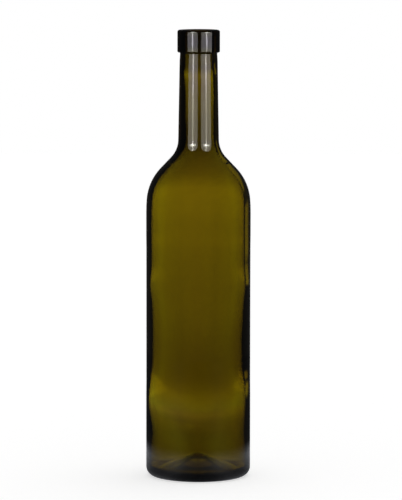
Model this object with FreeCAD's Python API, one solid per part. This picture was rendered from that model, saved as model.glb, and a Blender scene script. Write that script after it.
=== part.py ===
"""A tall 750 ml Bordeaux wine bottle, empty and uncorked, blown in one piece of olive green glass.

The frame: millimetres, +Z up along the bottle's axis, the origin at the centre of the ring it stands on.
The bottle is one revolved solid. Its section is drawn by two pens that both start on the axis at the
punt and climb to the lip: one along the outer face, one along the inner face. Every arc is tangent to
the line or arc before it, so a changed size carries the rest of the section with it.
"""

import FreeCAD
import Part

import math
import os

# Overall sizes
HEIGHT = 316.0
BODY_RADIUS = 36.85

# Foot: the heel's round and the flat ring that the bottle stands on
HEEL_RADIUS = 6.6
BEARING_WIDTH = 2.6

# Punt, outer face: a shallow cone that rises to a bell-shaped push-up
PUNT_DEPTH = 12.2
PUNT_DOME_RADIUS = 9.0
PUNT_FLANK_ANGLE = 46.0
PUNT_FOOT_RADIUS = 6.0
PUNT_CONE_ANGLE = 15.0
BEARING_FILLET = 2.0

# Punt, inner face: a wide cone with a rounded top, which meets the wall in a round corner
PUNT_THICKNESS = 2.8
INNER_DOME_RADIUS = 14.0
INNER_CONE_ANGLE = 20.5
INNER_HEEL_RADIUS = 4.5

# Body wall, thicker at the foot, with the label panel set back a hair between two contact bands
WALL_AT_FOOT = 3.4
WALL_AT_SHOULDER = 3.0
PANEL_RECESS = 0.1
PANEL_LOW = 58.0
PANEL_BELOW_SHOULDER = 16.0
PANEL_EASE = 10.0

# Settle wave: a soft ring low in the body where the wall is thinner, left on the inner face by the blowing
SETTLE_HEIGHT = 61.0
SETTLE_LENGTH = 34.0
SETTLE_SLOPE = 6.0
SETTLE_CROWN_RADIUS = 70.0

# Shoulder: a long ease out of the body, the round shoulder, a straight slope and the neck's hollow curve
SHOULDER_BELOW_MOUTH = 128.0
EASE_RADIUS = 110.0
EASE_ANGLE = 4.6
SHOULDER_RADIUS = 35.8
SHOULDER_SLOPE = 43.5
NECK_CURVE_RADIUS = 18.5

# Neck: a slim taper, drawn in a little under the ring
NECK_BASE_RADIUS = 14.3
NECK_TOP_RADIUS = 13.35
NECK_WALL = 3.8
RING_SEAT_DEPTH = 0.3
RING_SEAT_LENGTH = 6.0

# Finish: the tall flat ring round the mouth, and the bore that takes the cork
RING_HEIGHT = 15.8
RING_WIDTH = 1.9
RING_LOWER_FILLET = 1.0
LIP_OUTER_FILLET = 1.5
LIP_INNER_FILLET = 1.3
MOUTH_RADIUS = 9.25
BORE_RADIUS = 9.4
BORE_LENGTH = 25.5
BORE_FLARE_LENGTH = 3.0
BORE_FOOT_RADIUS = 10.3

# Where the body ends and the shoulder begins
SHOULDER_HEIGHT = HEIGHT - SHOULDER_BELOW_MOUTH

OUTWARD, UP = 0.0, 90.0


def sine(angle):
    return math.sin(math.radians(angle))


def cosine(angle):
    return math.cos(math.radians(angle))


class Pen:
    """Draws lines and tangent arcs in the XZ plane. Its heading is in degrees anticlockwise from outward."""

    def __init__(self, radius, height, heading):
        self.radius = radius
        self.height = height
        self.heading = heading
        self.edges = []

    def point(self):
        return FreeCAD.Vector(self.radius, 0, self.height)

    def line_to(self, radius, height):
        start = self.point()
        self.heading = math.degrees(math.atan2(height - self.height, radius - self.radius))
        self.radius = radius
        self.height = height
        self.edges.append(Part.LineSegment(start, self.point()).toShape())

    def forward(self, length):
        self.line_to(self.radius + length * cosine(self.heading), self.height + length * sine(self.heading))

    def climb_to(self, height):
        self.forward((height - self.height) / sine(self.heading))

    def turn(self, arc_radius, angle):
        """An arc that turns left by a positive angle, right by a negative one."""
        side = math.copysign(1.0, angle)
        centre_radius = self.radius - side * arc_radius * sine(self.heading)
        centre_height = self.height + side * arc_radius * cosine(self.heading)

        def on_arc(turned):
            bearing = self.heading + turned
            return FreeCAD.Vector(
                centre_radius + side * arc_radius * sine(bearing),
                0,
                centre_height - side * arc_radius * cosine(bearing),
            )

        start, middle, end = on_arc(0), on_arc(angle / 2), on_arc(angle)
        self.edges.append(Part.Arc(start, middle, end).toShape())
        self.radius, self.height = end.x, end.z
        self.heading += angle


def rise(arc_radius, steep, shallow):
    """How far an arc climbs between two slopes, given as angles from the axis."""
    return arc_radius * (sine(steep) - sine(shallow))


def draw_in(arc_radius, steep, shallow):
    """How far an arc draws in towards the axis between two slopes, given as angles from the axis."""
    return arc_radius * (cosine(shallow) - cosine(steep))


def solve_pair(across_1, up_1, across_2, up_2, across, up):
    """The lengths of two lines of known direction that together reach across and up."""
    spread = across_1 * up_2 - across_2 * up_1
    return (across * up_2 - across_2 * up) / spread, (across_1 * up - across * up_1) / spread


def neck_taper(base_height):
    """The neck's lean towards the axis, in degrees, from its base to where it draws in under the ring."""
    top_height = HEIGHT - RING_HEIGHT - RING_SEAT_LENGTH
    return math.degrees(math.atan2(NECK_BASE_RADIUS - NECK_TOP_RADIUS, top_height - base_height))


def shoulder_line(body_radius, inset, neck_radius, curve_radius, lean):
    """The length of the shoulder's straight slope on a face that lies inset from the outer face."""
    drawn_in = draw_in(EASE_RADIUS - inset, EASE_ANGLE, 0)
    drawn_in += draw_in(SHOULDER_RADIUS - inset, SHOULDER_SLOPE, EASE_ANGLE)
    drawn_in += draw_in(curve_radius, SHOULDER_SLOPE, lean)
    return (body_radius - neck_radius - drawn_in) / sine(SHOULDER_SLOPE)


def draw_shoulder(pen, inset, neck_radius, curve_radius, lean):
    """From the top of the body to the foot of the neck, on the outer face or one that lies inset from it."""
    slope_length = shoulder_line(pen.radius, inset, neck_radius, curve_radius, lean)
    pen.turn(EASE_RADIUS - inset, EASE_ANGLE)
    pen.turn(SHOULDER_RADIUS - inset, SHOULDER_SLOPE - EASE_ANGLE)
    pen.forward(slope_length)
    pen.turn(curve_radius, lean - SHOULDER_SLOPE)


def neck_base_height():
    """Where the outer face's hollow curve ends and the neck begins, before the neck's small lean."""
    slope_length = shoulder_line(BODY_RADIUS, 0, NECK_BASE_RADIUS, NECK_CURVE_RADIUS, 0)
    climbed = rise(EASE_RADIUS, EASE_ANGLE, 0) + rise(SHOULDER_RADIUS, SHOULDER_SLOPE, EASE_ANGLE)
    climbed += slope_length * cosine(SHOULDER_SLOPE) + rise(NECK_CURVE_RADIUS, SHOULDER_SLOPE, 0)
    return SHOULDER_HEIGHT + climbed


def draw_outer_punt(pen):
    """From the push-up's top, down its bell and shallow cone, to the flat bearing ring."""
    bearing_inner_radius = BODY_RADIUS - HEEL_RADIUS - BEARING_WIDTH
    across = bearing_inner_radius - PUNT_DOME_RADIUS * sine(PUNT_FLANK_ANGLE)
    across -= PUNT_FOOT_RADIUS * (sine(PUNT_FLANK_ANGLE) - sine(PUNT_CONE_ANGLE))
    across -= BEARING_FILLET * sine(PUNT_CONE_ANGLE)
    down = PUNT_DEPTH - PUNT_DOME_RADIUS * (1 - cosine(PUNT_FLANK_ANGLE))
    down -= PUNT_FOOT_RADIUS * (cosine(PUNT_CONE_ANGLE) - cosine(PUNT_FLANK_ANGLE))
    down -= BEARING_FILLET * (1 - cosine(PUNT_CONE_ANGLE))
    flank_length, cone_length = solve_pair(
        cosine(PUNT_FLANK_ANGLE), sine(PUNT_FLANK_ANGLE),
        cosine(PUNT_CONE_ANGLE), sine(PUNT_CONE_ANGLE), across, down,
    )
    pen.turn(PUNT_DOME_RADIUS, -PUNT_FLANK_ANGLE)
    pen.forward(flank_length)
    pen.turn(PUNT_FOOT_RADIUS, PUNT_FLANK_ANGLE - PUNT_CONE_ANGLE)
    pen.forward(cone_length)
    pen.turn(BEARING_FILLET, PUNT_CONE_ANGLE)
    pen.forward(BEARING_WIDTH)


def draw_outer_body(pen):
    """Round the heel and up the body, set back at the label panel."""
    panel_radius = BODY_RADIUS - PANEL_RECESS
    panel_high = SHOULDER_HEIGHT - PANEL_BELOW_SHOULDER
    pen.turn(HEEL_RADIUS, UP)
    pen.line_to(BODY_RADIUS, PANEL_LOW)
    pen.line_to(panel_radius, PANEL_LOW + PANEL_EASE)
    pen.line_to(panel_radius, panel_high - PANEL_EASE)
    pen.line_to(BODY_RADIUS, panel_high)
    pen.line_to(BODY_RADIUS, SHOULDER_HEIGHT)


def draw_ring(pen):
    """From under the ring, round its two outer corners, to the flat of the lip."""
    seat_radius = NECK_TOP_RADIUS - RING_SEAT_DEPTH
    seat_height = HEIGHT - RING_HEIGHT
    pen.line_to(seat_radius, seat_height)
    pen.line_to(seat_radius + RING_WIDTH - RING_LOWER_FILLET, seat_height)
    pen.turn(RING_LOWER_FILLET, UP)
    pen.climb_to(HEIGHT - LIP_OUTER_FILLET)
    pen.turn(LIP_OUTER_FILLET, UP)


def draw_outer_face():
    pen = Pen(0, PUNT_DEPTH, OUTWARD)
    draw_outer_punt(pen)
    draw_outer_body(pen)
    taper = neck_taper(neck_base_height())
    draw_shoulder(pen, 0, NECK_BASE_RADIUS, NECK_CURVE_RADIUS, taper)
    pen.climb_to(HEIGHT - RING_HEIGHT - RING_SEAT_LENGTH)
    draw_ring(pen)
    return pen


def draw_inner_punt(pen):
    """Down the inner face of the push-up and round the corner into the wall."""
    across = BODY_RADIUS - WALL_AT_FOOT - INNER_DOME_RADIUS * sine(INNER_CONE_ANGLE)
    across -= INNER_HEEL_RADIUS * (1 + sine(INNER_CONE_ANGLE))
    pen.turn(INNER_DOME_RADIUS, -INNER_CONE_ANGLE)
    pen.forward(across / cosine(INNER_CONE_ANGLE))
    pen.turn(INNER_HEEL_RADIUS, INNER_CONE_ANGLE + UP)


def draw_settle_wave(pen):
    """A gentle slope out into the wall, a rounded crown and the same slope back."""
    wall_heading = pen.heading
    crown_half_height = SETTLE_CROWN_RADIUS * sine(SETTLE_SLOPE)
    pen.climb_to(SETTLE_HEIGHT - SETTLE_LENGTH / 2)
    pen.heading = wall_heading - SETTLE_SLOPE
    pen.climb_to(SETTLE_HEIGHT - crown_half_height)
    pen.turn(SETTLE_CROWN_RADIUS, 2 * SETTLE_SLOPE)
    pen.climb_to(SETTLE_HEIGHT + SETTLE_LENGTH / 2)


def draw_bore(pen):
    """Up the neck, in at the foot of the cork's bore, up the bore and round the lip's inner corner."""
    bore_foot_height = HEIGHT - BORE_LENGTH
    pen.line_to(BORE_FOOT_RADIUS, bore_foot_height - BORE_FLARE_LENGTH)
    pen.line_to(BORE_RADIUS, bore_foot_height)
    pen.line_to(MOUTH_RADIUS, HEIGHT - LIP_INNER_FILLET)
    pen.heading = UP
    pen.turn(LIP_INNER_FILLET, OUTWARD - UP)


def draw_inner_face():
    shoulder_radius = BODY_RADIUS - WALL_AT_SHOULDER
    pen = Pen(0, PUNT_DEPTH + PUNT_THICKNESS, OUTWARD)
    draw_inner_punt(pen)
    pen.heading = math.degrees(math.atan2(SHOULDER_HEIGHT - pen.height, shoulder_radius - pen.radius))
    draw_settle_wave(pen)
    pen.line_to(shoulder_radius, SHOULDER_HEIGHT)
    pen.heading = UP
    draw_shoulder(pen, WALL_AT_SHOULDER, NECK_BASE_RADIUS - NECK_WALL, NECK_CURVE_RADIUS + NECK_WALL, 0)
    draw_bore(pen)
    return pen


def make_bottle():
    outer = draw_outer_face()
    inner = draw_inner_face()
    lip = Part.LineSegment(outer.point(), inner.point()).toShape()
    push_up = FreeCAD.Vector(0, 0, PUNT_DEPTH)
    axis = Part.LineSegment(push_up, push_up + FreeCAD.Vector(0, 0, PUNT_THICKNESS)).toShape()
    section = Part.Face(Part.Wire(Part.__sortEdges__(outer.edges + [lip, axis] + inner.edges)))
    return section.revolve(FreeCAD.Vector(0, 0, 0), FreeCAD.Vector(0, 0, 1), 360)


def export(shape, node):
    os.makedirs("parts", exist_ok=True)
    shape.exportStep(f"parts/{node}.step")


def main():
    bottle = make_bottle()
    export(bottle, "bottle")


main()
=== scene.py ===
import math

import bpy
from mathutils import Matrix, Vector, noise


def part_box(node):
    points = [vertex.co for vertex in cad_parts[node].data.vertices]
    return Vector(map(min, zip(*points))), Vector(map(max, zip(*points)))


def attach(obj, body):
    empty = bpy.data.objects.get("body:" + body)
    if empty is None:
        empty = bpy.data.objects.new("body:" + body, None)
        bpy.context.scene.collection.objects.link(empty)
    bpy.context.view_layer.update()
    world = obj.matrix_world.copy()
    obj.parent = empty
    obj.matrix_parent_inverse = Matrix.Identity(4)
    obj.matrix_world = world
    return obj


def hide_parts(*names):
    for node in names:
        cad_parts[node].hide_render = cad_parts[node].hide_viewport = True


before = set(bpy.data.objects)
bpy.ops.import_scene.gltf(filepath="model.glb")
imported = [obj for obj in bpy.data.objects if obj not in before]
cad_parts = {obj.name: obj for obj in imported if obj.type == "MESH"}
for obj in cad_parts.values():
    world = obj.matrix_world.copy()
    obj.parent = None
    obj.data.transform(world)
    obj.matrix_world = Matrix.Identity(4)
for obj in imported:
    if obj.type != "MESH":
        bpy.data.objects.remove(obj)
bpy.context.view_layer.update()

# The dressed bottle has the solid's outside and, inside it, the uneven wall that blowing leaves.
# The bottle's sizes are in millimetres, the studio's places in metres and all angles in degrees, unless
# a line says otherwise.
MM = 0.001
scene = bpy.context.scene

# ---------------------------------------------------------------- sizes of the bottle
_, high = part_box("bottle")
HEIGHT = high[2] / MM
BODY_RADIUS = high[0] / MM

# Foot: the heel's round and the flat ring that the bottle stands on
HEEL_RADIUS = 6.6
BEARING_WIDTH = 2.6

# Punt, outer face
PUNT_DEPTH = 12.2
PUNT_DOME_RADIUS = 9.0
PUNT_FLANK_ANGLE = 46.0
PUNT_FOOT_RADIUS = 6.0
PUNT_CONE_ANGLE = 15.0
BEARING_FILLET = 2.0

# Punt, inner face
PUNT_THICKNESS = 3.6
INNER_DOME_RADIUS = 14.0
INNER_CONE_ANGLE = 20.5
INNER_HEEL_RADIUS = 3.4

# Body wall and label panel
MOUTH_TO_SHOULDER = 128.0
SHOULDER_HEIGHT = HEIGHT - MOUTH_TO_SHOULDER
WALL_AT_FOOT = 3.4
WALL_AT_SHOULDER = 3.0
PANEL_RECESS = 0.1
PANEL_LOW = 58.0
PANEL_TO_SHOULDER = 16.0
PANEL_HIGH = SHOULDER_HEIGHT - PANEL_TO_SHOULDER
PANEL_EASE = 10.0

# Shoulder
EASE_RADIUS = 110.0
EASE_ANGLE = 4.6
SHOULDER_RADIUS = 35.8
SHOULDER_SLOPE = 43.5
NECK_CURVE_RADIUS = 18.5

# Neck
NECK_BASE_RADIUS = 14.3
NECK_TOP_RADIUS = 13.35
NECK_LEAN = 0.98
NECK_WALL = 3.8
SEAT_INSET = 0.3
RING_SEAT_RADIUS = NECK_TOP_RADIUS - SEAT_INSET
RING_SEAT_LENGTH = 6.0
SEAT_FILLET = 0.8

# Finish: the ring round the mouth, and the bore that takes the cork
RING_HEIGHT = 15.8
RING_OVERHANG = 1.9
RING_RADIUS = RING_SEAT_RADIUS + RING_OVERHANG
RING_LOWER_FILLET = 1.0
LIP_OUTER_FILLET = 1.5
LIP_INNER_FILLET = 1.3
MOUTH_RADIUS = 9.25
BORE_RADIUS = 9.4
BORE_LENGTH = 25.5
BORE_FLARE_LENGTH = 3.0
BORE_FOOT_RADIUS = 10.3

# Settle wave: the crooked ring of thinner glass low in the body
SETTLE_DEPTH = 1.42
SETTLE_LESS_AT_SIDES = 0.35
SETTLE_LESS_ON_RIGHT = 0.4
SETTLE_HEIGHT = 41.0        # its crest where the tilt is 0
SETTLE_RISE = 10.0          # how much higher its crest is where the tilt is 1
SETTLE_LESS_RISE_ON_RIGHT = 1.5
SETTLE_LENGTH = 50.0

# Belt: the ring of thicker glass over the settle wave, with its heights where the tilt is 1
BELT_DEPTH = 0.5
BELT_FOOT = 66.0
BELT_CREST = 99.0
BELT_TOP = 134.0
BELT_SAG = 28.0             # how much lower it hangs where the tilt is 0
BELT_LOWER_ON_RIGHT = 3.0
BELT_FOOT_RISE = 6.0        # its foot is steeper at the sides: it starts higher there
BELT_CREST_DROP = 14.0      # and reaches the crest lower

# Thin ring over the belt, at the sides alone
THIN_RING_DEPTH = 0.5
THIN_RING_HEIGHT = 136.0
THIN_RING_LENGTH = 28.0

# More glass on the right, as much less on the left, and more at both sides.
# The three numbers are for all the body, for what lies over the wave, and for the belt.
MORE_ON_RIGHT = (0.15, 0.12, 0.14)
MORE_AT_SIDES = (0.1, 0.4, 0.12)
OVER_WAVE = (50.0, 75.0)    # from none of it to all of it

# The neck's wall is thicker on the left, most of all in its lower half. The depths are half of what it
# gains there.
NECK_MORE_ON_LEFT = 0.40
NECK_SWELL_DEPTH = 0.25
NECK_SWELL_HEIGHT = HEIGHT - 76.0
NECK_SWELL_LENGTH = 36.0

# A faint unevenness all over, as (fineness, depth), and what makes one unit of noise
RIPPLES = [(1.0, 0.05), (2.3, 0.02)]
RIPPLE_LENGTH = 42.0        # millimetres up the wall
RIPPLE_ROUND = 1.7          # units from the axis to the wall

# Heights over which the body's unevenness gives way to the neck's, and over which all of it comes and goes
BODY_TO_NECK = (HEIGHT - 111.0, HEIGHT - 84.0)
UNEVEN_FROM = (14.0, 30.0)
UNEVEN_TO = (HEIGHT - 46.0, HEIGHT - 29.0)

# Mesh: the faces round the bottle, and what one ring of faces spans of the section
AROUND = 240
ARC_STEP = 3.0              # degrees of an arc
FILLET_STEP = 7.5           # degrees of an arc of no more than SMALL_RADIUS
SMALL_RADIUS = 2.5
LINE_STEP = 3.2             # millimetres of a straight run
ON_AXIS = 1e-6              # a point nearer to the axis than this is a single vertex
SHARP_ANGLE = 40.0          # edges over this many degrees show as edges

UP = 90.0


# ---------------------------------------------------------------- section
def sine(angle):
    return math.sin(math.radians(angle))


def cosine(angle):
    return math.cos(math.radians(angle))


class Pen:
    """Draws a section as points (radius, height), in lines and tangent arcs."""

    def __init__(self, radius, height, heading):
        self.radius, self.height, self.heading = radius, height, heading
        self.points = [(radius, height)]

    def line_to(self, radius, height):
        across, up = radius - self.radius, height - self.height
        steps = max(1, round(math.hypot(across, up) / LINE_STEP))
        start_radius, start_height = self.radius, self.height
        for i in range(1, steps + 1):
            self.points.append((start_radius + across * i / steps, start_height + up * i / steps))
        self.heading = math.degrees(math.atan2(up, across))
        self.radius, self.height = radius, height

    def forward(self, length):
        self.line_to(self.radius + length * cosine(self.heading), self.height + length * sine(self.heading))

    def climb_to(self, height):
        self.forward((height - self.height) / sine(self.heading))

    def turn(self, arc_radius, angle):
        """An arc to the left for a positive angle and to the right for a negative one."""
        side = math.copysign(1.0, angle)
        centre_radius = self.radius - side * arc_radius * sine(self.heading)
        centre_height = self.height + side * arc_radius * cosine(self.heading)
        step = ARC_STEP if arc_radius > SMALL_RADIUS else FILLET_STEP
        steps = max(2, math.ceil(abs(angle) / step))
        for i in range(1, steps + 1):
            bearing = self.heading + angle * i / steps
            self.points.append((centre_radius + side * arc_radius * sine(bearing),
                                centre_height - side * arc_radius * cosine(bearing)))
        self.radius, self.height = self.points[-1]
        self.heading += angle


def shoulder(pen, inset, neck_radius, curve_radius, lean):
    """From the top of the body to the foot of the neck, at an inset from the outside."""
    drawn_in = (EASE_RADIUS - inset) * (1 - cosine(EASE_ANGLE))
    drawn_in += (SHOULDER_RADIUS - inset) * (cosine(EASE_ANGLE) - cosine(SHOULDER_SLOPE))
    drawn_in += curve_radius * (cosine(lean) - cosine(SHOULDER_SLOPE))
    slope_length = (pen.radius - neck_radius - drawn_in) / sine(SHOULDER_SLOPE)
    pen.turn(EASE_RADIUS - inset, EASE_ANGLE)
    pen.turn(SHOULDER_RADIUS - inset, SHOULDER_SLOPE - EASE_ANGLE)
    pen.forward(slope_length)
    pen.turn(curve_radius, lean - SHOULDER_SLOPE)


def punt_runs():
    """The lengths of the punt's flank and cone that bring its arcs from the tip to the bearing ring."""
    flank_sine, flank_cosine = sine(PUNT_FLANK_ANGLE), cosine(PUNT_FLANK_ANGLE)
    cone_sine, cone_cosine = sine(PUNT_CONE_ANGLE), cosine(PUNT_CONE_ANGLE)
    across = BODY_RADIUS - HEEL_RADIUS - BEARING_WIDTH
    across -= PUNT_DOME_RADIUS * flank_sine
    across -= PUNT_FOOT_RADIUS * (flank_sine - cone_sine)
    across -= BEARING_FILLET * cone_sine
    down = PUNT_DEPTH
    down -= PUNT_DOME_RADIUS * (1 - flank_cosine)
    down -= PUNT_FOOT_RADIUS * (cone_cosine - flank_cosine)
    down -= BEARING_FILLET * (1 - cone_cosine)
    spread = sine(PUNT_FLANK_ANGLE - PUNT_CONE_ANGLE)
    flank = (cone_cosine * down - cone_sine * across) / spread
    cone = (flank_sine * across - flank_cosine * down) / spread
    return flank, cone


def outer_section():
    flank, cone = punt_runs()
    pen = Pen(0.0, PUNT_DEPTH, 0.0)
    pen.turn(PUNT_DOME_RADIUS, -PUNT_FLANK_ANGLE)
    pen.forward(flank)
    pen.turn(PUNT_FOOT_RADIUS, PUNT_FLANK_ANGLE - PUNT_CONE_ANGLE)
    pen.forward(cone)
    pen.turn(BEARING_FILLET, PUNT_CONE_ANGLE)
    pen.forward(BEARING_WIDTH)
    pen.turn(HEEL_RADIUS, UP)
    panel_radius = BODY_RADIUS - PANEL_RECESS
    pen.line_to(BODY_RADIUS, PANEL_LOW)
    pen.line_to(panel_radius, PANEL_LOW + PANEL_EASE)
    pen.line_to(panel_radius, PANEL_HIGH - PANEL_EASE)
    pen.line_to(BODY_RADIUS, PANEL_HIGH)
    pen.line_to(BODY_RADIUS, SHOULDER_HEIGHT)
    shoulder(pen, 0.0, NECK_BASE_RADIUS, NECK_CURVE_RADIUS, NECK_LEAN)
    seat = HEIGHT - RING_HEIGHT
    pen.line_to(NECK_TOP_RADIUS, seat - RING_SEAT_LENGTH)
    pen.line_to(RING_SEAT_RADIUS, seat - SEAT_FILLET)
    pen.heading = UP
    pen.turn(SEAT_FILLET, -UP)
    pen.line_to(RING_RADIUS - RING_LOWER_FILLET, seat)
    pen.turn(RING_LOWER_FILLET, UP)
    pen.climb_to(HEIGHT - LIP_OUTER_FILLET)
    pen.turn(LIP_OUTER_FILLET, UP)
    return pen.points


def inner_section():
    cone = BODY_RADIUS - WALL_AT_FOOT - INNER_DOME_RADIUS * sine(INNER_CONE_ANGLE)
    cone -= INNER_HEEL_RADIUS * (1 + sine(INNER_CONE_ANGLE))
    pen = Pen(0.0, PUNT_DEPTH + PUNT_THICKNESS, 0.0)
    pen.turn(INNER_DOME_RADIUS, -INNER_CONE_ANGLE)
    pen.forward(cone / cosine(INNER_CONE_ANGLE))
    pen.turn(INNER_HEEL_RADIUS, INNER_CONE_ANGLE + UP)
    pen.line_to(BODY_RADIUS - WALL_AT_SHOULDER, SHOULDER_HEIGHT)
    pen.heading = UP
    shoulder(pen, WALL_AT_SHOULDER, NECK_BASE_RADIUS - NECK_WALL, NECK_CURVE_RADIUS + NECK_WALL, 0.0)
    bore_foot = HEIGHT - BORE_LENGTH
    pen.line_to(BORE_FOOT_RADIUS, bore_foot - BORE_FLARE_LENGTH)
    pen.line_to(BORE_RADIUS, bore_foot)
    pen.line_to(MOUTH_RADIUS, HEIGHT - LIP_INNER_FILLET)
    pen.heading = UP
    pen.turn(LIP_INNER_FILLET, -UP)
    return pen.points


# ---------------------------------------------------------------- what the blowing leaves in the wall
# An angle round the bottle is in radians and runs from +X, its right side. So its cosine is 1 on the right
# and -1 on the left.
def smooth(low_edge, high_edge, value):
    """0 below the low edge, 1 above the high edge, and an ease between them."""
    t = min(1.0, max(0.0, (value - low_edge) / (high_edge - low_edge)))
    return t * t * (3 - 2 * t)


def swell(centre, half_length, height):
    """A soft bump along the wall, 1 at its centre and 0 beyond its ends."""
    place = (height - centre) / half_length
    return max(0.0, 1 - place * place) ** 2


def at_sides(angle):
    """1 at both sides and 0 in front and behind."""
    return math.cos(angle) ** 4


def side_tilt(angle):
    """Near 0 in front and behind and near 1 at the sides, as a V with a rounded foot."""
    rounding, offset = 0.08, 0.15
    return math.sqrt(math.cos(angle) ** 2 + rounding) - offset


def settle_wave(angle, height):
    """Thinner glass: deepest on the left, and lowest in front and behind."""
    right = math.cos(angle)
    depth = SETTLE_DEPTH - SETTLE_LESS_AT_SIDES * at_sides(angle) - SETTLE_LESS_ON_RIGHT * right
    rise = SETTLE_RISE - SETTLE_LESS_RISE_ON_RIGHT * right
    return depth * swell(SETTLE_HEIGHT + rise * side_tilt(angle), SETTLE_LENGTH / 2, height)


def thick_belt(angle, height):
    """The belt of thicker glass, from 0 to 1."""
    sides = at_sides(angle)
    level = height + BELT_SAG * (1 - side_tilt(angle)) + BELT_LOWER_ON_RIGHT * math.cos(angle)
    foot = smooth(BELT_FOOT + BELT_FOOT_RISE * sides, BELT_CREST - BELT_CREST_DROP * sides, level)
    return foot * (1 - smooth(BELT_CREST, BELT_TOP, level))


def body_change(angle, height):
    """The body's share: the wave and the thin ring take glass away, and the rest adds it."""
    sides = at_sides(angle)
    belt = thick_belt(angle, height)
    shares = (1.0, smooth(*OVER_WAVE, height), belt)
    more_on_right = math.cos(angle) * sum(more * share for more, share in zip(MORE_ON_RIGHT, shares))
    more_at_sides = sides * sum(more * share for more, share in zip(MORE_AT_SIDES, shares))
    thin_ring = THIN_RING_DEPTH * sides * swell(THIN_RING_HEIGHT, THIN_RING_LENGTH / 2, height)
    return settle_wave(angle, height) + thin_ring - BELT_DEPTH * belt - more_on_right - more_at_sides


def neck_change(angle, height):
    """The neck's share: more glass, all of it off the right side."""
    swelling = NECK_SWELL_DEPTH * swell(NECK_SWELL_HEIGHT, NECK_SWELL_LENGTH / 2, height)
    return -(NECK_MORE_ON_LEFT + swelling) * (1 - math.cos(angle))


def ripple(angle, height):
    """The faint unevenness that covers all of the inside."""
    spot = Vector((RIPPLE_ROUND * math.cos(angle), RIPPLE_ROUND * math.sin(angle), height / RIPPLE_LENGTH))
    return sum(depth * noise.noise(spot * fineness) for fineness, depth in RIPPLES)


def wall_change(angle, height):
    """How far the inner face lies outside its section, in millimetres: the wall is thinner by as much."""
    in_neck = smooth(*BODY_TO_NECK, height)
    change = body_change(angle, height) * (1 - in_neck) + neck_change(angle, height) * in_neck
    off_ends = smooth(*UNEVEN_FROM, height) * (1 - smooth(*UNEVEN_TO, height))
    return (change + ripple(angle, height)) * off_ends


# ---------------------------------------------------------------- mesh
def ring_faces(lower, upper):
    """The faces between two rings of vertex numbers, where a ring on the axis is a single vertex."""
    faces = []
    for i in range(AROUND):
        j = (i + 1) % AROUND
        if len(lower) == 1:
            faces.append((lower[0], upper[j], upper[i]))
        elif len(upper) == 1:
            faces.append((lower[i], lower[j], upper[0]))
        else:
            faces.append((lower[i], lower[j], upper[j], upper[i]))
    return faces


def lathe(name, outer, inner):
    """One closed mesh, from the punt's tip over the outside to the lip and down the inside to the axis."""
    vertices, faces, rings = [], [], []
    section = [(*point, False) for point in outer] + [(*point, True) for point in reversed(inner)]
    for radius, height, is_inner in section:
        first = len(vertices)
        if radius < ON_AXIS:
            vertices.append((0.0, 0.0, height * MM))
        else:
            for i in range(AROUND):
                angle = 2 * math.pi * i / AROUND
                r = radius + (wall_change(angle, height) if is_inner else 0.0)
                vertices.append((r * math.cos(angle) * MM, r * math.sin(angle) * MM, height * MM))
        rings.append(range(first, len(vertices)))
    for lower, upper in zip(rings[:-1], rings[1:]):
        faces += ring_faces(lower, upper)
    mesh = bpy.data.meshes.new(name)
    mesh.from_pydata(vertices, [], faces)
    mesh.validate()
    mesh.polygons.foreach_set("use_smooth", [True] * len(mesh.polygons))
    mesh.set_sharp_from_angle(angle=math.radians(SHARP_ANGLE))
    mesh.update()
    piece = bpy.data.objects.new(name, mesh)
    scene.collection.objects.link(piece)
    return piece


bottle = lathe("glass_bottle", outer_section(), inner_section())
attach(bottle, "root")
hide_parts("bottle")


# ---------------------------------------------------------------- nodes
class Nodes:
    """A short way to write a node tree."""

    def __init__(self, tree):
        self.tree = tree
        tree.nodes.clear()

    def add(self, kind, **inputs):
        node = self.tree.nodes.new(kind)
        for key, value in inputs.items():
            self.put(node.inputs[key.replace("_", " ")], value)
        return node

    def put(self, socket, value):
        if isinstance(value, bpy.types.NodeSocket):
            self.tree.links.new(value, socket)
        else:
            socket.default_value = value

    def math(self, operation, *values):
        node = self.tree.nodes.new("ShaderNodeMath")
        node.operation = operation
        for socket, value in zip(node.inputs, values):
            self.put(socket, value)
        return node.outputs[0]

    def times(self, first, *others):
        product = first
        for other in others:
            product = self.math("MULTIPLY", product, other)
        return product

    def distance(self, value, centre):
        return self.math("ABSOLUTE", self.math("SUBTRACT", value, centre))

    def ramp(self, value, stops):
        """Numbers at stops, a list of (place, number), and straight runs between them.

        Cycles samples a ramp at 256 places from its first stop to its last, so these also set its fineness.
        """
        low_value = stops[0][0]
        span = stops[-1][0] - low_value
        peak = max(1.0, max(number for place, number in stops))
        node = self.tree.nodes.new("ShaderNodeValToRGB")
        self.put(node.inputs[0], self.math("DIVIDE", self.math("SUBTRACT", value, low_value), span))
        elements = node.color_ramp.elements
        while len(elements) < len(stops):
            elements.new(0.5)
        for element, (place, number) in zip(elements, stops):
            element.position = (place - low_value) / span
            element.color = (number / peak, number / peak, number / peak, 1.0)
        return self.times(node.outputs[0], peak)

    def pick(self, condition, if_true, if_false):
        """if_true where the condition is 1, if_false where it is 0."""
        kept = self.times(if_false, self.math("SUBTRACT", 1.0, condition))
        return self.math("ADD", self.times(if_true, condition), kept)

    def ray(self, fact):
        """One of Light Path's facts about the ray that arrives."""
        return self.add("ShaderNodeLightPath").outputs[fact]

    def surface(self, shader):
        self.put(self.add("ShaderNodeOutputMaterial").inputs["Surface"], shader.outputs[0])

    def mix(self, share, first, second):
        """The first shader where the share is 0, the second where it is 1."""
        node = self.add("ShaderNodeMixShader")
        for socket, value in zip(node.inputs, (share, first.outputs[0], second.outputs[0])):
            self.put(socket, value)
        return node


def new_material(name):
    material = bpy.data.materials.new(name)
    material.use_nodes = True
    return material, Nodes(material.node_tree)


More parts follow.
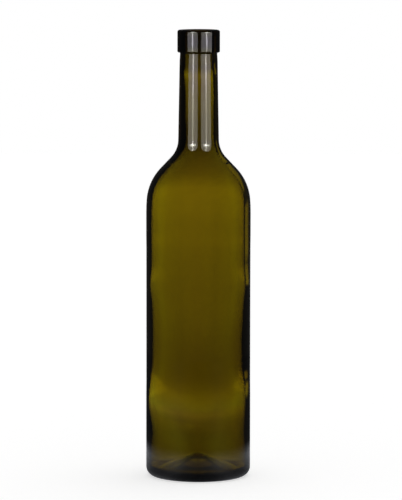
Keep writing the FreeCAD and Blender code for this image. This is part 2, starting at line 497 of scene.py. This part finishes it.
# ---------------------------------------------------------------- glass
GLASS_IOR = 1.52
GLASS_LOSS = (0.20, 0.248, 1.10)        # absorption per millimetre in red, green and blue
GLASS_DENSITY = 1200.0
GRAIN_LEAST = 0.96                      # the surface lets through this share and, with the grain, more
GRAIN_SPAN = 0.05
# Painted shade by height, as the share of light that the surface lets through: the neck and ring are darker
# than their wall alone makes them
NECK_PAINTED_SHADE = [(0.0, 1.0), (0.203, 1.0), (0.232, 0.6), (0.25, 0.63), (0.265, 0.7), (0.284, 0.84),
             (0.291, 0.62), (0.3, 0.5), (0.302, 0.36), (HEIGHT * MM, 0.33)]


def olive_glass():
    material, n = new_material("olive_glass")
    where = n.add("ShaderNodeTexCoord").outputs["Object"]
    rise = n.add("ShaderNodeSeparateXYZ", Vector=where).outputs["Z"]
    grain = n.add("ShaderNodeTexNoise", Vector=where, Scale=90.0, Detail=2.0).outputs["Fac"]
    cords = n.add("ShaderNodeTexNoise", Vector=where, Scale=26.0, Detail=1.0).outputs["Fac"]
    bump = n.add("ShaderNodeBump", Strength=0.03, Distance=0.0004, Height=cords)
    # Painted shade: this ramp darkens the neck and ring beyond what their glass does
    clear = n.ramp(rise, NECK_PAINTED_SHADE)
    shader = n.add("ShaderNodeBsdfPrincipled", Roughness=0.0, IOR=GLASS_IOR)
    n.put(shader.inputs["Base Color"], n.times(clear, n.math("ADD", GRAIN_LEAST, n.times(grain, GRAIN_SPAN))))
    n.put(shader.inputs["Transmission Weight"], 1.0)
    n.put(shader.inputs["Normal"], bump.outputs[0])
    volume = n.add("ShaderNodeVolumeAbsorption", Density=GLASS_DENSITY)
    n.put(volume.inputs["Color"], (*[1 - loss / MM / GLASS_DENSITY for loss in GLASS_LOSS], 1.0))
    out = n.add("ShaderNodeOutputMaterial")
    n.put(out.inputs["Surface"], shader.outputs[0])
    n.put(out.inputs["Volume"], volume.outputs[0])
    return material


bottle.data.materials.append(olive_glass())

# ---------------------------------------------------------------- studio
# The camera sees a white floor and a white world. The glass sees a room that is bright to rays through
# both its walls and near black to rays along one wall, as bright-field light gives it.
ROOM = 3.0                              # half the floor's width
WALL_RADIUS = ROOM - 0.05
WALL_HEIGHT = 2.0
WALL_STEPS = 96
THROUGH_BOTH_WALLS = 2.5                # a ray that has crossed the bottle is refracted more often than this
MIRRORED_OUTSIDE = 0.5                  # and one that the outside mirrors less often than this
QUARTER = 90.0
EIGHTH = 45.0

# Brightness of the floor behind the bottle by distance from its axis, and a factor of its green. Under the
# bottle, near the axis, it is dark: a painted shadow of the bottle
BEHIND = [(0.0, 0.10), (0.012, 0.17), (0.014, 0.01), (0.030, 0.04), (0.034, 0.10), (0.045, 0.20),
          (0.09, 0.17), (0.13, 0.145), (0.2, 0.145), (0.26, 0.19), (0.3, 0.22), (0.6, 0.265), (0.9, 0.30),
          (1.22, 0.33), (1.63, 0.38), (2.03, 0.48), (2.45, 0.52), (ROOM, 0.52)]
BEHIND_GREEN = [(0.0, 1.0), (0.12, 1.0), (0.16, 0.87), (0.3, 0.87), (0.5, 1.0), (ROOM, 1.0)]
# Brightness of the wall behind the bottle by height
WALL_BEHIND = [(0.0, 0.56), (0.3, 0.5), (WALL_HEIGHT, 0.3)]
# Factors of both by degrees off the nearest eighth of the circle
SIDES = [(0.0, 1.0), (3.0, 1.03), (10.0, 1.5), (EIGHTH / 2, 1.8)]
SIDES_GREEN = [(0.0, 0.86), (4.0, 0.92), (10.0, 1.04), (EIGHTH / 2, 1.0)]
# The most that a ray along one wall sees, by degrees off the nearest quarter, and a factor of it by
# height on the room's wall: behind the ring it is low
ALONG_ONE_WALL = [(0.0, 0.2), (4.5, 0.15), (9.0, 0.012), (QUARTER / 2, 0.012)]
ALONG_BY_HEIGHT = [(0.0, 1.0), (0.12, 1.0), (0.15, 0.1), (WALL_HEIGHT, 0.1)]

# What the glass mirrors of the table by distance from the axis, and by degrees from the front. Its dip near
# the bottle's foot is a painted shadow of the bottle on the table
TABLE = [(0.0, 0.35), (0.05, 0.25), (0.085, 0.4), (0.105, 0.55), (0.125, 0.6), (0.16, 0.2),
         (0.18, 0.05), (0.5, 0.04)]
TABLE_ROUND = [(0.0, 0.304), (20.0, 0.496), (38.0, 0.96), (50.0, 0.96), (68.0, 0.672), (90.0, 0.576),
               (112.0, 0.672), (180.0, 0.496)]
TABLE_COLOUR = (0.94, 0.96, 1.04, 1.0)
FLOOR_COLOUR = (0.85, 0.85, 0.85, 1.0)
FLOOR_FILL = 0.62

# Strength of the world to each kind of ray
WORLD_SEEN = 1.0
WORLD_THROUGH_GLASS = 0.15
WORLD_MIRRORED = 0.03
WORLD_ON_FLOOR = 0.30
WHITE = (1.0, 1.0, 1.0, 1.0)


def stage_mesh(name, vertices, faces, material):
    mesh = bpy.data.meshes.new(name)
    mesh.from_pydata(vertices, [], faces)
    mesh.materials.append(material)
    obj = bpy.data.objects.new(name, mesh)
    scene.collection.objects.link(obj)
    return obj


def only(obj, seen_by):
    """Shows the object to one kind of ray."""
    for kind in ("camera", "diffuse", "glossy", "transmission", "shadow", "volume_scatter"):
        setattr(obj, "visible_" + kind, kind == seen_by)


def tube(radius, bottom, top, steps):
    vertices = []
    for i in range(steps):
        a = 2 * math.pi * i / steps
        vertices += [(radius * math.cos(a), radius * math.sin(a), z) for z in (bottom, top)]
    count = 2 * steps
    return vertices, [(2 * i, (2 * i + 2) % count, (2 * i + 3) % count, 2 * i + 1) for i in range(steps)]


def flat_ring(inner_radius, outer_radius, height, steps):
    vertices, faces = tube(1.0, inner_radius, outer_radius, steps)
    return [(x * radius, y * radius, height) for x, y, radius in vertices], faces


def upright_strip(reach, bearings, foot, tops):
    """An upright band at a distance from the axis, through bearings in degrees from the front towards +X."""
    vertices = []
    for bearing, top in zip(bearings, tops):
        vertices += [(reach * sine(bearing), -reach * cosine(bearing), z) for z in (foot, top)]
    return vertices, [(2 * i, 2 * i + 2, 2 * i + 3, 2 * i + 1) for i in range(len(bearings) - 1)]


def polar(n):
    """Distance from the bottle's axis, bearing in degrees from the front towards +X, and height."""
    place = n.add("ShaderNodeSeparateXYZ", Vector=n.add("ShaderNodeNewGeometry").outputs["Position"])
    x, y, height = place.outputs
    reach = n.math("SQRT", n.math("ADD", n.math("POWER", x, 2.0), n.math("POWER", y, 2.0)))
    bearing = n.times(n.math("ARCTAN2", x, n.times(y, -1.0)), 180 / math.pi)
    return reach, bearing, height


def off_nearest(n, bearing, period):
    """How far a bearing lies from the nearest multiple of the period, in degrees."""
    return n.math("ABSOLUTE", n.math("WRAP", bearing, period / 2, -period / 2))


def bright_field(n, brightness, bearing, along_factor):
    """What the glass shows of the room: all of it through both walls, little of it along one wall."""
    across = n.math("GREATER_THAN", n.ray("Transmission Depth"), THROUGH_BOTH_WALLS)
    along = n.times(n.ramp(off_nearest(n, bearing, QUARTER), ALONG_ONE_WALL), along_factor)
    return n.pick(across, brightness, n.math("MINIMUM", brightness, along))


def side_lit(n, brightness, bearing, green_factor):
    """The room's brightness and its colour: brighter and greener off the eighths of the circle."""
    off = off_nearest(n, bearing, EIGHTH)
    green = n.times(n.ramp(off, SIDES_GREEN), green_factor)
    colour = n.add("ShaderNodeCombineXYZ", X=1.0, Y=green, Z=1.0).outputs[0]
    return n.times(brightness, n.ramp(off, SIDES)), colour


def white_world():
    """White to the camera, soft light for the floor, near black in the glass."""
    world = bpy.data.worlds.new("studio")
    scene.world = world
    world.use_nodes = True
    n = Nodes(world.node_tree)
    unseen = n.pick(n.ray("Is Glossy Ray"), WORLD_MIRRORED, WORLD_ON_FLOOR)
    unseen = n.pick(n.ray("Is Transmission Ray"), WORLD_THROUGH_GLASS, unseen)
    strength = n.pick(n.ray("Is Camera Ray"), WORLD_SEEN, unseen)
    background = n.add("ShaderNodeBackground", Strength=strength, Color=WHITE)
    n.put(n.add("ShaderNodeOutputWorld").inputs["Surface"], background.outputs[0])


def floor():
    """White to the camera with the bottle's soft shadow, and the table and the room to the glass."""
    material, n = new_material("floor")
    through_glass = n.ray("Is Transmission Ray")
    reach, bearing, _ = polar(n)
    behind, colour = side_lit(n, n.ramp(reach, BEHIND), bearing, n.ramp(reach, BEHIND_GREEN))
    round_table = n.ramp(n.math("ABSOLUTE", bearing), TABLE_ROUND)
    mirrored = n.times(n.ramp(reach, TABLE), round_table)
    seen = n.pick(through_glass, bright_field(n, behind, bearing, 1.0), mirrored)
    tint = n.add("ShaderNodeMix")
    tint.data_type = "RGBA"
    factor, table_colour, room_colour = tint.inputs[0], tint.inputs[6], tint.inputs[7]
    n.put(factor, through_glass)
    n.put(table_colour, TABLE_COLOUR)
    n.put(room_colour, colour)
    shown = n.add("ShaderNodeEmission", Strength=seen, Color=tint.outputs[2])
    lit = n.add("ShaderNodeAddShader")
    n.put(lit.inputs[0], n.add("ShaderNodeBsdfDiffuse", Color=FLOOR_COLOUR).outputs[0])
    n.put(lit.inputs[1], n.add("ShaderNodeEmission", Strength=FLOOR_FILL).outputs[0])
    by_glass = n.math("MAXIMUM", through_glass, n.ray("Is Glossy Ray"))
    n.surface(n.mix(by_glass, lit, shown))
    corners = [(-ROOM, -ROOM, 0), (ROOM, -ROOM, 0), (ROOM, ROOM, 0), (-ROOM, ROOM, 0)]
    stage_mesh("floor", corners, [(0, 1, 2, 3)], material)


def room_wall():
    """The room's round wall, which only shows through the glass."""
    material, n = new_material("room_wall")
    _, bearing, height = polar(n)
    behind, colour = side_lit(n, n.ramp(height, WALL_BEHIND), bearing, 1.0)
    seen = bright_field(n, behind, bearing, n.ramp(height, ALONG_BY_HEIGHT))
    n.surface(n.add("ShaderNodeEmission", Strength=seen, Color=colour))
    only(stage_mesh("room_wall", *tube(WALL_RADIUS, 0.0, WALL_HEIGHT, WALL_STEPS), material), "transmission")


# ---------------------------------------------------------------- softboxes
# Two upright panels in front, which the neck and the ring mirror as stripes. Each has a bright line up its
# middle, at the bearing of its lamp, and a small cross of light, which shows at the foot of the neck.
BOX_DISTANCE = 1.0
BOX_FOOT = 0.03
BOX_TOP = 1.04
BOX_LEVEL = 0.24                        # share of the width to either side over which the top is level
BOX_SLOPE = 0.5                         # how far the top drops from there to the corners
BOX_STEPS = 32
BOX_GAIN = 3.6
BOX_RED_GREEN = (0.97, 0.95)

# Brightness across a panel by degrees from its start, from its lamp and from its end
FROM_START = [(0.0, 0.0), (4.0, 0.85)]
FROM_LAMP = [(-12.0, 0.84), (-4.0, 1.0), (4.0, 1.0), (12.0, 0.84)]
FROM_END = [(-5.0, 0.85), (0.0, 0.0)]
# By height: brightness and blue of the panel, and brightness of its line
BOX_BY_HEIGHT = [(0.0, 0.8), (0.2, 0.8), (0.235, 0.84), (0.25, 0.68), (0.272, 0.68), (0.3, 0.78), (1.3, 0.85)]
BOX_BLUE = [(0.0, 0.80), (0.19, 0.80), (0.235, 0.84), (0.255, 1.04), (0.275, 1.04), (0.29, 0.92),
            (0.5, 0.86), (1.3, 0.86)]
LINE_BY_HEIGHT = [(0.0, 0.3), (0.2, 0.3), (0.237, 0.5), (0.262, 0.85), (0.3, 0.85), (1.3, 0.85)]
# The line by degrees beside the lamp
LINE_BESIDE = [(0.0, 1.0), (1.2, 1.0), (4.0, 0.0), (40.0, 0.0)]
# The cross: a spot by distance from its middle, and a level bar by height off it and degrees beside the lamp
CROSS_HEIGHT = 0.5
SPOT_GAIN = 4.0
SPOT_DEGREES = 60.0                     # degrees that count as much as one metre of height
SPOT_BY_DISTANCE = [(0.0, 1.0), (0.03, 0.8), (0.05, 0.2), (0.08, 0.0), (0.5, 0.0)]
BAR_GAIN = 6.5
BAR_BY_HEIGHT = [(0.0, 1.0), (0.05, 0.8), (0.1, 0.0), (0.5, 0.0)]
BAR_BESIDE = [(0.0, 1.0), (12.0, 0.5), (20.0, 0.0), (40.0, 0.0)]


def cross_of_light(n, beside, height):
    """A round spot with a level bar through it."""
    off_level = n.distance(height, CROSS_HEIGHT)
    sideways = n.math("DIVIDE", beside, SPOT_DEGREES)
    away = n.math("SQRT", n.math("ADD", n.math("POWER", sideways, 2.0), n.math("POWER", off_level, 2.0)))
    spot = n.times(n.ramp(away, SPOT_BY_DISTANCE), SPOT_GAIN)
    bar = n.times(n.ramp(off_level, BAR_BY_HEIGHT), n.ramp(beside, BAR_BESIDE), BAR_GAIN)
    return n.math("ADD", spot, bar)


def softbox_light(n, start, end, lamp, line_gain):
    """The brightness and the colour of a panel."""
    _, bearing, height = polar(n)
    anchors = ((start, FROM_START), (lamp, FROM_LAMP), (end, FROM_END))
    profile = [(anchor + offset, level) for anchor, stops in anchors for offset, level in stops]
    panel = n.times(n.ramp(bearing, profile), n.ramp(height, BOX_BY_HEIGHT))
    beside = n.distance(bearing, lamp)
    line = n.times(n.ramp(beside, LINE_BESIDE), n.ramp(height, LINE_BY_HEIGHT), line_gain)
    light = n.math("ADD", n.math("ADD", panel, line), cross_of_light(n, beside, height))
    red, green = BOX_RED_GREEN
    colour = n.add("ShaderNodeCombineXYZ", X=red, Y=green, Z=n.ramp(height, BOX_BLUE)).outputs[0]
    return n.times(light, BOX_GAIN), colour


def softbox(name, start, end, lamp, line_gain):
    """A panel from one bearing to another, which only rays mirrored by the outside show."""
    material, n = new_material(name)
    light, colour = softbox_light(n, start, end, lamp, line_gain)
    from_outside = n.math("LESS_THAN", n.ray("Transmission Depth"), MIRRORED_OUTSIDE)
    n.surface(n.add("ShaderNodeEmission", Strength=n.times(light, from_outside), Color=colour))
    shares = [i / BOX_STEPS for i in range(BOX_STEPS + 1)]      # of the panel's width
    bearings = [start + (end - start) * share for share in shares]
    corners = [max(0.0, abs(share - 0.5) - BOX_LEVEL) / (0.5 - BOX_LEVEL) for share in shares]
    tops = [BOX_TOP - BOX_SLOPE * corner for corner in corners]
    only(stage_mesh(name, *upright_strip(BOX_DISTANCE, bearings, BOX_FOOT, tops), material), "glossy")


# ---------------------------------------------------------------- hood and card
HOOD_RADIUS = 0.15
HOOD_FOOT = 0.07
HOOD_TOP = 0.223
HOOD_HOLE = 0.0205
HOOD_STEPS = 64
HOOD_LIGHT = 0.03

CARD_DISTANCE = 1.0
CARD_FOOT = 0.015
CARD_TOP = 0.9
CARD_BEARINGS = range(139, 163, 2)
CARD_COLOUR = (1.0, 1.08, 0.6, 1.0)
CARD_GAIN = 0.9
CARD_BY_HEIGHT = [(0.0, 0.0), (0.03, 0.1), (0.055, 0.9), (0.12, 1.0), (0.145, 0.1), (0.25, 0.1), (0.3, 0.9),
                  (CARD_TOP, 0.9)]
CARD_BY_BEARING = [(139.0, 0.0), (143.0, 1.0), (156.0, 1.0), (162.0, 0.2)]


def hood():
    """A near black hood round the body, which keeps the softboxes' reflections off the shoulder."""
    material, n = new_material("hood")
    n.surface(n.add("ShaderNodeEmission", Strength=HOOD_LIGHT))
    side = tube(HOOD_RADIUS, HOOD_FOOT, HOOD_TOP, HOOD_STEPS)
    lid = flat_ring(HOOD_HOLE, HOOD_RADIUS, HOOD_TOP, HOOD_STEPS)
    only(stage_mesh("hood", *side, material), "glossy")
    only(stage_mesh("hood_lid", *lid, material), "glossy")


def rim_card():
    """A card behind to the right, which lights the right wall's edge."""
    material, n = new_material("rim_card")
    _, bearing, height = polar(n)
    strength = n.times(n.ramp(height, CARD_BY_HEIGHT), n.ramp(bearing, CARD_BY_BEARING), CARD_GAIN)
    shine = n.add("ShaderNodeEmission", Strength=strength, Color=CARD_COLOUR)
    along_one_wall = n.math("LESS_THAN", n.ray("Transmission Depth"), THROUGH_BOTH_WALLS)
    n.surface(n.mix(along_one_wall, n.add("ShaderNodeBsdfTransparent"), shine))
    tops = [CARD_TOP] * len(CARD_BEARINGS)
    card = stage_mesh("rim_card", *upright_strip(CARD_DISTANCE, CARD_BEARINGS, CARD_FOOT, tops), material)
    only(card, "transmission")


# ---------------------------------------------------------------- lamp and camera
CAMERA_PLACE = Vector((0.00184, -2.5, 0.42))
CAMERA_AIM = Vector((0.00184, 0.0, 0.1607))
CAMERA_LENS = 256.3
CAMERA_ROLL = 0.08
SENSOR_WIDTH = 36.0
LAMP_STRENGTH = 0.5
LAMP_SPREAD = 50.0
LAMP_TURN = (-12.0, 8.0, 0.0)


def overhead_lamp():
    """A soft lamp overhead for the floor's shadow."""
    data = bpy.data.lights.new("overhead", "SUN")
    data.energy = LAMP_STRENGTH
    data.angle = math.radians(LAMP_SPREAD)
    lamp = bpy.data.objects.new("overhead", data)
    lamp.rotation_euler = [math.radians(angle) for angle in LAMP_TURN]
    scene.collection.objects.link(lamp)
    only(lamp, "diffuse")


def photo_camera():
    data = bpy.data.cameras.new("camera")
    data.sensor_width = SENSOR_WIDTH
    data.lens = CAMERA_LENS
    camera = bpy.data.objects.new("camera", data)
    scene.collection.objects.link(camera)
    facing = (CAMERA_AIM - CAMERA_PLACE).to_track_quat("-Z", "Y").to_matrix().to_4x4()
    roll = Matrix.Rotation(math.radians(CAMERA_ROLL), 4, "Z")
    camera.matrix_world = Matrix.Translation(CAMERA_PLACE) @ facing @ roll
    scene.camera = camera


scene.view_settings.view_transform = "Standard"
white_world()
floor()
room_wall()
softbox("softbox_left", start=-64.0, end=-3.0, lamp=-33.0, line_gain=4.0)
softbox("softbox_right", start=12.0, end=78.0, lamp=44.5, line_gain=3.2)
hood()
rim_card()
overhead_lamp()
photo_camera()
